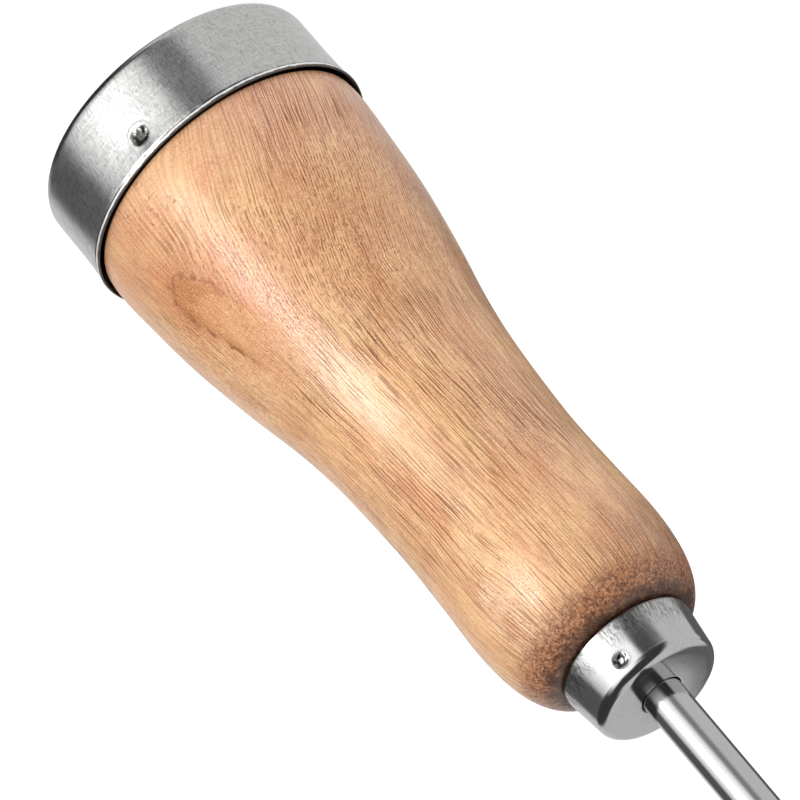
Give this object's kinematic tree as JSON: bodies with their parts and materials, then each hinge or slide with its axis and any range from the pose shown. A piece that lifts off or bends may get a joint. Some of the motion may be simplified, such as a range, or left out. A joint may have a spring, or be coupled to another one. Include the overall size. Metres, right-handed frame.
{
  "type": "scratch awl",
  "caption": "Scratch awl: a round tapered steel blade in a waisted wood handle with a steel ferrule and a steel striking cap.",
  "frame": {"origin": "centre of the cap's flat butt face, which the awl stands on", "axes": "+Z along the common axis from the cap to the point; -Y is the side with the near pair of punched stakes"},
  "size_m": [0.0362, 0.0362, 0.1841],
  "materials": {
    "tool_steel": "bright polished round bar with fine lengthwise lines",
    "cap_steel": "satin, finely brushed round the cap",
    "ferrule_steel": "polished, with faint turning lines",
    "varnished_wood": "light reddish brown hardwood under a thin satin varnish"
  },
  "bodies": {
    "root": {"blade": "tool_steel", "handle": "varnished_wood", "ferrule": "ferrule_steel", "butt_cap": "cap_steel"}
  },
  "joints": []
}
